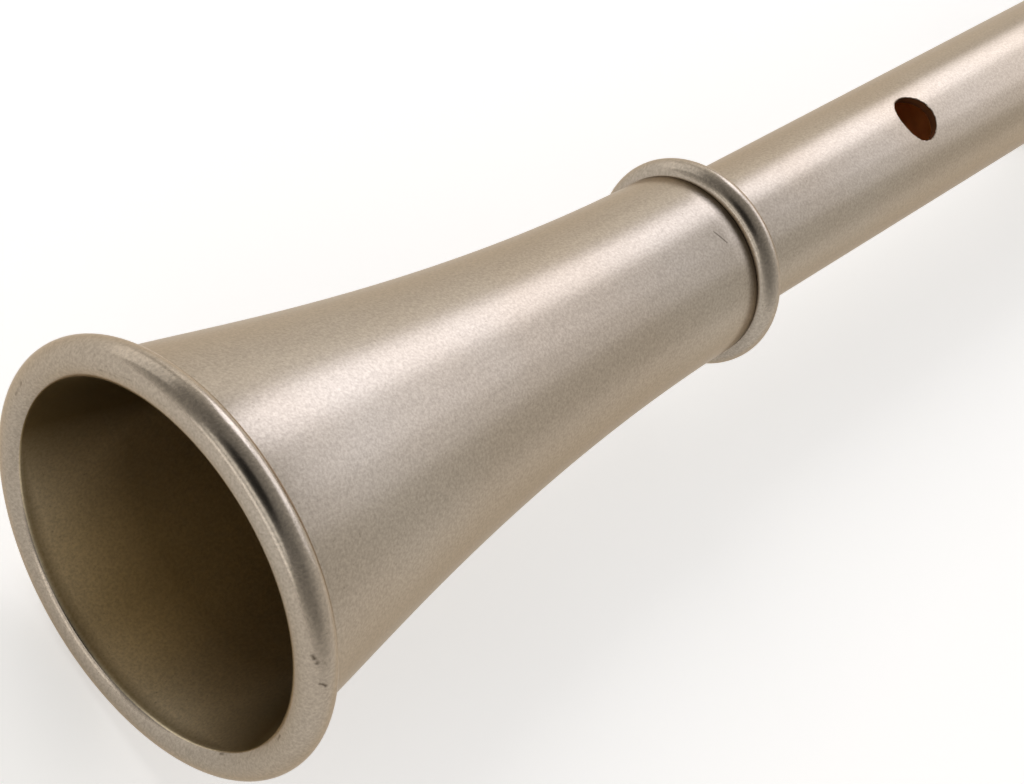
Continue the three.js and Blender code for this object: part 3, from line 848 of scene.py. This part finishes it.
def make_tenon():
    """Turned bush: spigot, rounded shoulder with a line round it, and the corked stub."""
    shoulder = TUBE_END + SHOULDER_SEAM
    shoulder_end = TUBE_END + SOLDER_GAP + SHOULDER_WIDTH
    nose = SHOULDER_NOSE
    line = (shoulder + shoulder_end) / 2
    spigot = TUBE_BORE_RADIUS - SOLDERED
    outside = [(TENON_START, spigot), (shoulder, spigot), (shoulder, SHOULDER_RADIUS - nose)]
    outside += arc((shoulder + nose, SHOULDER_RADIUS - nose), nose, pi, pi / 2, 10)
    outside += [(line - SHOULDER_LINE, SHOULDER_RADIUS), (line, SHOULDER_RADIUS - SHOULDER_LINE)]
    outside += [(line + SHOULDER_LINE, SHOULDER_RADIUS)]
    outside += arc((shoulder_end - nose, SHOULDER_RADIUS - nose), nose, pi / 2, 0, 10)
    outside += [(shoulder_end, TENON_RADIUS), (TENON_END, TENON_RADIUS)]
    piece = sleeve("tenon_with_shoulder", outside, TENON_BORE_RADIUS)
    round_edges(piece, 0.15 * MM)
    paint(piece, 1, lambda c: from_axis(c) < TENON_BORE_RADIUS + 0.05 * MM)
    put_on(piece, "tenon", [plate, bore_brass_painted_lit])


def make_cork():
    """Cork wrapped round the tenon, sanded slightly barrelled, with the slanting line of its
    glued joint."""
    length = CORK_END - CORK_START
    outside = []
    for share in spaced(0, 1, 24):
        barrel = CORK_BARREL * (2 * share - 1) ** 2
        eased = CORK_EASE * max(0, 1 - min(share, 1 - share) / CORK_EASED_SHARE) ** 2
        outside.append((CORK_START + share * length, CORK_RADIUS - barrel - eased))
    piece = sleeve("cork_sleeve", outside, TENON_RADIUS + SOLDERED)
    middle = Vector(((CORK_START + CORK_END) / 2, 0, AXIS_HEIGHT + CORK_RADIUS))
    bpy.ops.mesh.primitive_cube_add(size=1, location=middle, rotation=(0, 0, CORK_JOINT_SLANT))
    joint = bpy.context.object
    joint.scale = (2 * length, CORK_JOINT_WIDTH, 2 * CORK_JOINT_DEPTH)
    place_in_mesh(joint)
    cut(piece, joint)
    put_on(piece, "tenon_cork", [tenon_cork])


# Thumb hook and strap lug, soldered behind the tube

def make_saddle(name, node, corner):
    """Curved plate that lies on the back of the tube."""
    low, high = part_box(node)
    outer = TUBE_RADIUS + SOLDER_GAP + PLATE_SHEET
    piece = sleeve(name, [(low.x, outer), (high.x, outer)], SLEEVE_RADIUS)
    outline = rounded_rectangle(low.x, high.x, high.y, corner)
    cut(piece, prism("plan", outline, Z, 0, AXIS_HEIGHT), "INTERSECT")
    round_edges(piece, 0.2 * MM)
    return piece


def make_hook_plate():
    piece = make_saddle("hook_saddle", "thumb_hook_plate", 3 * MM)
    put_on(piece, "thumb_hook_plate", [plate])


def make_thumb_hook():
    """Strip bent into a hook whose outer face is flat, so that the instrument lies on it."""
    back = HOOK_HIGH.x
    outer = HOOK_BEND
    inner = HOOK_BEND - HOOK_STRIP
    bend = (back - outer, outer - AXIS_HEIGHT)
    curl = (back - outer - HOOK_FOOT, outer - AXIS_HEIGHT)
    down = -pi / 2
    outline = [(back, 0)]
    outline += arc(bend, outer, 0, down, 20)
    outline += arc(curl, outer, down, down - HOOK_CURL, 14)
    outline += arc(curl, inner, down - HOOK_CURL, down, 14)
    outline += arc(bend, inner, down, 0, 20)
    outline += [(back - HOOK_STRIP, 0)]
    piece = prism("bent_hook", outline, Y, HOOK_LOW.y, HOOK_HIGH.y)
    round_edges(piece, 0.5 * MM, segments=4)
    clear = TUBE_RADIUS + SOLDER_GAP + PLATE_SHEET - SOLDERED
    cut(piece, rod("tube_and_plate", HOOK_LOW.x - FAR, back + FAR, clear))
    put_on(piece, "thumb_hook", [plate])


def make_strap_lug():
    """Small saddle with a round-nosed fin, drilled for the strap ring."""
    middle = sum(ends("strap_lug")) / 2
    piece = make_saddle("lug_saddle", "strap_lug", 2 * MM)
    hole_height = LUG_HOLE_HEIGHT - AXIS_HEIGHT
    root = -(TUBE_RADIUS + SOLDER_GAP)
    outline = [(middle - LUG_EYE_RADIUS, root)]
    outline += arc((middle, hole_height), LUG_EYE_RADIUS, -pi, 0, 28)
    outline += [(middle + LUG_EYE_RADIUS, root)]
    fin = prism("fin", outline, Y, -LUG_FIN_HALF, LUG_FIN_HALF)
    round_edges(fin, 0.3 * MM, segments=3)
    cut(piece, fin, "UNION")
    eye = Vector((middle, 0, LUG_HOLE_HEIGHT))
    cut(piece, rod("eye_drill", -FAR, FAR, LUG_HOLE_RADIUS, steps=SMALL_TURN, centre=eye, along=Y))
    put_on(piece, "strap_lug", [plate])


def make_strap_ring():
    """Wire bent round, its ends butted and brazed: a small swelling shows at the joint."""
    low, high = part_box("strap_ring")
    middle = (low + high) / 2
    circle = (high.y - low.y) / 2 - STRAP_WIRE_RADIUS
    bpy.ops.mesh.primitive_torus_add(
        location=middle,
        rotation=(0, pi / 2, 0),
        major_segments=96,
        minor_segments=24,
        major_radius=circle,
        minor_radius=STRAP_WIRE_RADIUS,
    )
    piece = bpy.context.object
    piece.name = "brazed_strap_ring"
    place_in_mesh(piece)
    turn = STRAP_JOINT_ANGLE
    joint = middle + Vector((0, circle * sin(turn), -circle * cos(turn)))
    bpy.ops.mesh.primitive_uv_sphere_add(
        segments=24, ring_count=12, radius=STRAP_JOINT_RADIUS, location=joint
    )
    swelling = bpy.context.object
    place_in_mesh(swelling)
    cut(piece, swelling, "UNION")
    put_on(piece, "strap_ring", [burnished_plate], body="strap_ring", smooth_below=60)


# Mouthpiece. Places along it are distances from its shank end.

def cone_radius(place):
    """Radius of the mouthpiece, parallel at the shank and then a cone to its nose."""
    share = (place - SHANK_LENGTH) / (MOUTHPIECE_LENGTH - SHANK_LENGTH)
    return SHANK_RADIUS + share * (NOSE_RADIUS - SHANK_RADIUS)


def table_height(place):
    return TABLE_DEPTH - cone_radius(place)


def lay_height(place):
    """Height of the face under the reed, which curves away from the reed towards the tip."""
    share = max(0, 1 - (MOUTHPIECE_LENGTH - place) / LAY_LENGTH)
    return table_height(place) + TIP_OPENING * share ** 2


BEAK_START = MOUTHPIECE_LENGTH - BEAK_LENGTH
TIP_HEIGHT = lay_height(MOUTHPIECE_LENGTH)


def beak_height(place):
    """Height of the beak, slightly hollow along its length."""
    share = (place - BEAK_START) / BEAK_LENGTH
    straight = cone_radius(BEAK_START) + share * (TIP_HEIGHT + TIP_EDGE - cone_radius(BEAK_START))
    return straight - BEAK_HOLLOW * sin(pi * share)


def tip_half_width(place, setback=0.0):
    """Half width that the round tip leaves at a place."""
    ahead = place - (MOUTHPIECE_LENGTH - setback - TIP_ARC_RADIUS)
    if ahead <= 0:
        return TIP_ARC_RADIUS
    return sqrt(max(TIP_ARC_RADIUS ** 2 - ahead ** 2, 0))


def section(place, low, high, half, radius, softness=16):
    """Outline across the mouthpiece or reed: a circle, cut flat below, above and at the sides,
    with its corners eased. Higher softness gives sharper corners."""
    middle = (max(low, -radius) + min(high, radius)) / 2
    flat_below = low > -radius
    flat_above = high < radius
    tall = (min(high, radius) - max(low, -radius)) / 2
    wide = min(half, radius)

    def outside(y, z):
        over = (abs(y) / half) ** softness + (hypot(y, z + middle) / radius) ** softness
        if (z < 0 and flat_below) or (z > 0 and flat_above):
            over += (abs(z) / tall) ** softness
        return over > 1

    points = []
    for i in range(SECTION_STEPS):
        angle = 2 * pi * i / SECTION_STEPS
        y, z = wide * cos(angle), tall * sin(angle)
        short, long = 0.0, 2.0
        for _ in range(24):
            share = (short + long) / 2
            if outside(share * y, share * z):
                long = share
            else:
                short = share
        points.append(Vector((SHANK_END + place, short * y, AXIS_HEIGHT + middle + short * z)))
    return points


def mouthpiece_section(place):
    radius = cone_radius(place) if place > SHANK_LENGTH else SHANK_RADIUS
    for groove in GROOVES:
        radius -= GROOVE_DEPTH * max(0, 1 - abs(place - groove * MM) / GROOVE_HALF)
    radius -= SHANK_EASE * max(0, 1 - place / SHANK_EASE)
    low = lay_height(place) if place > TABLE_START else -2 * radius
    high = beak_height(place) if place > BEAK_START else 2 * radius
    return section(place, low, high, max(tip_half_width(place), TIP_END_HALF), radius)


def from_shank(pairs):
    """Turns places given from the shank end into places in the frame."""
    return [(SHANK_END + place, height) for place, height in pairs]


def plan_with_tip(back, half, setback):
    """Plan outline whose front end is the arc of the tip, set back by a distance."""
    centre = MOUTHPIECE_LENGTH - setback - TIP_ARC_RADIUS
    angle = asin(half / TIP_ARC_RADIUS)
    front = arc((centre, 0), TIP_ARC_RADIUS, -angle, angle, 24)
    return from_shank([(back, -half)] + front + [(back, half)])


# Where sections of the mouthpiece and the reed are drawn on the round of the tip, in
# millimetres from the shank end.
TIP_STATIONS = [85.5, 85.9, 86.2, 86.45, 86.65, 86.8, 86.9, 86.96, 86.99]
# Least half width of a section, at the very tip.
TIP_END_HALF = 0.05 * MM


def make_mouthpiece():
    """Turned and milled rubber: table, curved lay, hollow beak, window, chamber and bores."""
    stations = [0, 0.4, 0.5, 5, 12, 18.8, 18.9, 19.05, 19.15, 20, 24, 30, 36, 42, 48, 51]
    for groove in GROOVES:
        stations += [groove + beside for beside in (-0.4, -0.3, 0, 0.3, 0.4)]
    stations += [51 + 0.9 * i for i in range(1, 37)] + [84, 84.6, 85.1] + TIP_STATIONS
    sections = [mouthpiece_section(station * MM) for station in sorted(stations)]
    piece = lofted("milled_mouthpiece", sections)
    window_end = MOUTHPIECE_LENGTH - TIP_RAIL
    window_start = window_end - WINDOW_LENGTH
    roof = cone_radius(BEAK_START) - BEAK_WALL
    side = [
        (window_start, -FAR),
        (window_start, roof),
        (BEAK_START, roof),
        (window_end, TIP_HEIGHT),
        (window_end, -FAR),
    ]
    chamber = prism("chamber", from_shank(side), Y, -FAR, FAR)
    plan = plan_with_tip(window_start, WINDOW_HALF, TIP_RAIL)
    cut(chamber, prism("window", plan, Z, -FAR, FAR), "INTERSECT")
    round_edges(chamber, CHAMBER_ROUNDING, segments=3)
    cut(piece, chamber)
    past = 1 * MM
    throat_end = window_start + past
    bores = [
        (-past, 0),
        (-past, SOCKET_RADIUS + SOCKET_CHAMFER + past),
        (SOCKET_CHAMFER, SOCKET_RADIUS),
        (SOCKET_DEPTH, SOCKET_RADIUS),
        (SOCKET_DEPTH, TENON_BORE_RADIUS),
        (throat_end, TENON_BORE_RADIUS),
        (throat_end, 0),
    ]
    cut(piece, turned("bores", from_shank(bores), steps=96))
    put_on(piece, "mouthpiece", [rubber], "mouthpiece", 50)


def make_mouthpiece_ring():
    """Plated ring pressed over the shank, with rolled edges and two lines."""
    low, high = ends("mouthpiece_ring")
    outside = []
    for i, share in enumerate(spaced(0, 1, RING_STEPS)):
        edge = RING_EASE * (2 * abs(share - 0.5)) ** RING_EDGE_SHARPNESS
        line = RING_LINE if i in RING_LINED else 0
        outside.append((low + share * (high - low), MOUTHPIECE_RING_RADIUS - edge - line))
    piece = sleeve("ring_with_lines", outside, SHANK_RADIUS + SOLDERED)
    put_on(piece, "mouthpiece_ring", [burnished_plate], body="mouthpiece")


# Reed

VAMP_START = MOUTHPIECE_LENGTH - REED_VAMP


def reed_flat(place):
    return table_height(place) - SOLDERED


def reed_back(place):
    """Height of the outer side, where the vamp thins the reed towards its tip."""
    if place < VAMP_START:
        return -2 * SHANK_RADIUS
    share = (place - VAMP_START) / REED_VAMP
    thick = TABLE_DEPTH + (REED_TIP_THICKNESS - TABLE_DEPTH) * share ** 0.9
    return reed_flat(place) - thick


def reed_section(place):
    share = (place - REED_HEEL) / (MOUTHPIECE_LENGTH - REED_HEEL)
    half = REED_HEEL_HALF + share * (REED_TIP_HALF - REED_HEEL_HALF)
    half = max(min(half, tip_half_width(place)), TIP_END_HALF)
    return section(place, reed_back(place), reed_flat(place), half, cone_radius(place), 40)


def make_reed():
    """Cane reed: flat side on the table, bark outside at the heel, and the cut vamp."""
    stations = [21, 21.15, 26, 34, 42, 50, 52.9, 53]
    stations += [53 + 1.15 * i for i in range(1, 26)]
    stations += [82.5, 83.2, 83.9, 84.5, 85.0] + TIP_STATIONS
    piece = lofted("cane_reed", [reed_section(station * MM) for station in stations])

    def is_cut(centre):
        place = centre.x - SHANK_END
        on_bark = from_axis(centre) > cone_radius(place) - 0.06 * MM
        return not on_bark or place < REED_HEEL + 0.05 * MM

    paint(piece, 1, is_cut)
    put_on(piece, "reed", [cane_bark, cane_cut], "reed", 32)


# Ligature

def band_outside(place):
    return cone_radius(place) + BAND_CLEARANCE + BAND_SHEET


def make_ligature_band():
    """Sheet band, split below the reed, with rolled edges and three pressed ribs."""
    inner = [(place, cone_radius(place) + BAND_SEAM) for place in (BAND_START, BAND_END)]
    outer = []
    for share in spaced(0, 1, 60):
        place = BAND_START + share * (BAND_END - BAND_START)
        rib = 0
        for middle in BAND_RIB_SHARES:
            away = min(abs(share - middle) / BAND_RIB_HALF_SHARE, 1)
            rib += BAND_RIB * (0.5 + 0.5 * cos(pi * away))
        edge = BAND_EASE * (2 * abs(share - 0.5)) ** BAND_EDGE_SHARPNESS
        outer.append((place, band_outside(place) - BAND_RIB + rib - edge))
    profile = from_shank([inner[0]] + outer + [inner[1]])
    split = asin(BAND_SPLIT_HALF / band_outside(BAND_START))
    start = Matrix.Rotation(split, 3, "X") @ -Z
    sweep = 2 * pi - 2 * split
    piece = turned("split_band", profile + profile[:1], start=start, sweep=sweep)
    put_on(piece, "ligature_band", [band_brass], "ligature")


def screw_centre(end):
    """Middle of a screw's line, from its node's box."""
    low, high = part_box("ligature_screw_" + end)
    return Vector(((low.x + high.x) / 2, 0, (low.z + high.z) / 2))


def make_post(end, kind, side):
    """Round-nosed post brazed to one edge of the split."""
    centre = screw_centre(end)
    height = centre.z - AXIS_HEIGHT
    neck = acos(POST_NECK_HALF / POST_RADIUS)
    outline = [(centre.x - POST_NECK_HALF, 0)]
    outline += arc((centre.x, height), POST_RADIUS, pi - neck, 2 * pi + neck, 32)
    outline += [(centre.x + POST_NECK_HALF, 0)]
    low, high = sorted((BAND_SPLIT_HALF * side, (BAND_SPLIT_HALF + POST_LENGTH) * side))
    piece = prism("post_" + kind + "_" + end, outline, Y, low, high)
    round_edges(piece, 0.3 * MM, segments=3)
    clear = BAND_CLEARANCE + BAND_SHEET - BAND_RIB
    places = (BAND_START - POST_RADIUS * 2, BAND_END + POST_RADIUS * 2)
    core = [(SHANK_END + place, cone_radius(place) + clear) for place in places]
    core = [(core[0][0], 0)] + core + [(core[1][0], 0)]
    cut(piece, turned("band_core", core))
    radius = SCREW_RADIUS + (PLAIN_POST_PLAY if kind == "plain" else THREADED_POST_PLAY)
    cut(piece, rod("drill", -FAR, FAR, radius, steps=32, centre=centre, along=Y))
    node = "ligature_post_" + kind + "_" + end
    put_on(piece, node, [band_brass], "ligature")


def make_screw(end):
    """Thumbscrew with a fluted, dished head and a fine thread."""
    centre = screw_centre(end)
    node = "ligature_screw_" + end
    low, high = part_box(node)
    head_start = high.y - SCREW_HEAD_LENGTH
    shoulder = head_start - SCREW_SHOULDER_WIDTH
    inside_head = head_start + 1 * MM
    thread = [(low.y, 0), (low.y, SCREW_RADIUS - SCREW_POINT_EASE)]
    place = low.y + THREAD_DEPTH
    while place < head_start - SCREW_PLAIN_LENGTH:
        thread.append((place, SCREW_RADIUS))
        thread.append((place + SCREW_PITCH / 2, SCREW_RADIUS - THREAD_DEPTH))
        place += SCREW_PITCH
    thread += [(place, SCREW_RADIUS), (shoulder, SCREW_RADIUS)]
    thread += [(shoulder, SCREW_SHOULDER_RADIUS), (inside_head, SCREW_SHOULDER_RADIUS)]
    thread += [(inside_head, 0)]
    shank = turned("shank", thread, steps=32, centre=centre, along=Y)
    height = centre.z - AXIS_HEIGHT
    outline = []
    for angle in spaced(0, 2 * pi, SCREW_LOBES * 12)[:-1]:
        flute = (0.5 - 0.5 * cos(SCREW_LOBES * angle)) ** 3
        radius = SCREW_HEAD_RADIUS - SCREW_LOBE_DEPTH * flute
        outline.append((centre.x + radius * cos(angle), height + radius * sin(angle)))
    piece = prism("thumbscrew_" + end, outline, Y, head_start, high.y)
    round_edges(piece, 0.35 * MM, segments=3, sharper_than=50)
    outside = high.y + 1 * MM
    dish = [(high.y - 0.5 * MM, 0), (high.y - 0.4 * MM, 1.6 * MM), (high.y, DISH_RADIUS)]
    dish += [(outside, DISH_RADIUS), (outside, 0)]
    cut(piece, turned("dish", dish, steps=SMALL_TURN, centre=centre, along=Y))
    cut(piece, shank, "UNION")
    put_on(piece, node, [band_brass], node)


make_bell()
make_collar_ring()
make_tube()
make_end_ring()
make_tenon()
make_cork()
make_hook_plate()
make_thumb_hook()
make_strap_lug()
make_strap_ring()
make_mouthpiece()
make_mouthpiece_ring()
make_reed()
make_ligature_band()
for end in ("back", "front"):
    make_post(end, "plain", 1)
    make_post(end, "threaded", -1)
    make_screw(end)


# Camera, where the photograph was taken from: rolled, close to the rim, above the bell.

CAMERA_PLACE = Vector((-275.94, -28.56, 174.55)) * MM
CAMERA_TARGET = Vector((-143.13, -2.78, 22.10)) * MM
CAMERA_ROLL = radians(45.13)
LENS = 67.85


def aim(thing, place, target, roll=0.0):
    """Puts a camera or a lamp at a place and turns it towards a target."""
    turn = (target - place).to_track_quat("-Z", "Y").to_matrix() @ Matrix.Rotation(roll, 3, "Z")
    thing.matrix_world = Matrix.Translation(place) @ turn.to_4x4()


def make_camera():
    bpy.ops.object.camera_add()
    camera = bpy.context.object
    camera.data.lens = LENS
    camera.data.sensor_width = 36
    camera.data.clip_start = 0.01
    aim(camera, CAMERA_PLACE, CAMERA_TARGET, CAMERA_ROLL)
    bpy.context.scene.camera = camera


# Studio

LIT_PLACE = Vector((BELL_END, 0, AXIS_HEIGHT))


def direction(azimuth, elevation):
    """Unit vector towards a light. Azimuth 0 is +X and 90 is +Y."""
    a = radians(azimuth)
    e = radians(elevation)
    return Vector((cos(a) * cos(e), sin(a) * cos(e), sin(e)))


def softbox(name, azimuth, elevation, size, radiance, tint="#FFFFFF", distance=1.2, glossy=True):
    """A rectangular soft light that faces the bell. Radiance 1 shows as white in a mirror."""
    place = LIT_PLACE + direction(azimuth, elevation) * distance
    bpy.ops.object.light_add(type="AREA", location=place)
    lamp = bpy.context.object
    lamp.name = name
    lamp.data.shape = "RECTANGLE"
    lamp.data.size, lamp.data.size_y = size
    lamp.data.energy = radiance * pi * size[0] * size[1]
    lamp.data.color = colour(tint)[:3]
    lamp.visible_camera = False
    lamp.visible_glossy = glossy
    aim(lamp, place, LIT_PLACE)


def make_world():
    """Room light: pale all round low down, brightest beyond the mouthpiece end, and dimmer
    overhead. A black flag above the camera draws the dark line along the bead."""
    world = bpy.data.worlds.new("studio")
    bpy.context.scene.world = world
    world.use_nodes = True
    tree = world.node_tree
    way = add(tree, "ShaderNodeTexCoord").outputs["Generated"]
    parts = parts_of(tree, way)
    around = span(tree, parts["X"], 0, 1, 0.42, 0.95)
    level = span(tree, parts["Z"], 0, 0.35, 0.85, around)
    overhead = span(tree, parts["Z"], 0.35, 0.8, 1, 0.7)
    towards_flag = vector_step(tree, "DOT_PRODUCT", way, tuple(direction(180, 62)))
    beside_flag = span(tree, towards_flag, 0.9, 0.96, 1, 0.06)
    room = math_step(tree, "MULTIPLY", level, overhead)
    strength = math_step(tree, "MULTIPLY", room, beside_flag)
    feed(tree, tree.nodes["Background"], {"Strength": strength, "Color": "#FFFCF7"})


FLOOR_GLOW = 0.4


def make_floor():
    """Pale painted board, large enough to fill every view. A little of its white comes from
    itself, for the camera and for what the metal mirrors, and its shadows stay."""
    bpy.ops.mesh.primitive_plane_add(size=8, location=(0, 0, -0.0002))
    floor = bpy.context.object
    floor.name = "floor"
    material, tree, shader, place = new_material("pale board")
    shade = noise(tree, place, 300)
    base = mixed(tree, shade, "#F6F4F0", "#F9F7F4")
    feed(tree, shader, {"Base Color": base, "Roughness": 0.9, "Specular IOR Level": 0.0})
    path = add(tree, "ShaderNodeLightPath").outputs
    rays = [path["Is Camera Ray"], path["Is Glossy Ray"], path["Is Transmission Ray"]]
    seen = most(tree, rays)
    glow = (FLOOR_GLOW, FLOOR_GLOW, FLOOR_GLOW, 1)
    feed(tree, shader, {"Emission Color": glow, "Emission Strength": seen})
    floor.data.materials.append(material)


KEY_TINT = "#E6EBFF"

make_camera()
make_world()
make_floor()
softbox("key softbox", 3, 25, (1.33, 0.64), 0.65, KEY_TINT)
softbox("key softbox, bright edge", 26, 26, (0.38, 0.60), 2.3, KEY_TINT)
softbox("key softbox, middle", 0, 24, (0.50, 0.60), 0.97, KEY_TINT)
softbox("fill softbox", 45, 12, (0.42, 0.38), 0.6)
softbox("side softbox", 90, 15, (1.0, 0.8), 0.7)
softbox("front softbox", 180, 30, (1.1, 0.25), 1.1)
softbox("front softbox, low", 180, 12, (1.1, 0.25), 1.3)
softbox("floor wash", 90, 45, (0.7, 0.7), 3.3, distance=1.6, glossy=False)

bpy.context.scene.view_settings.view_transform = "Standard"
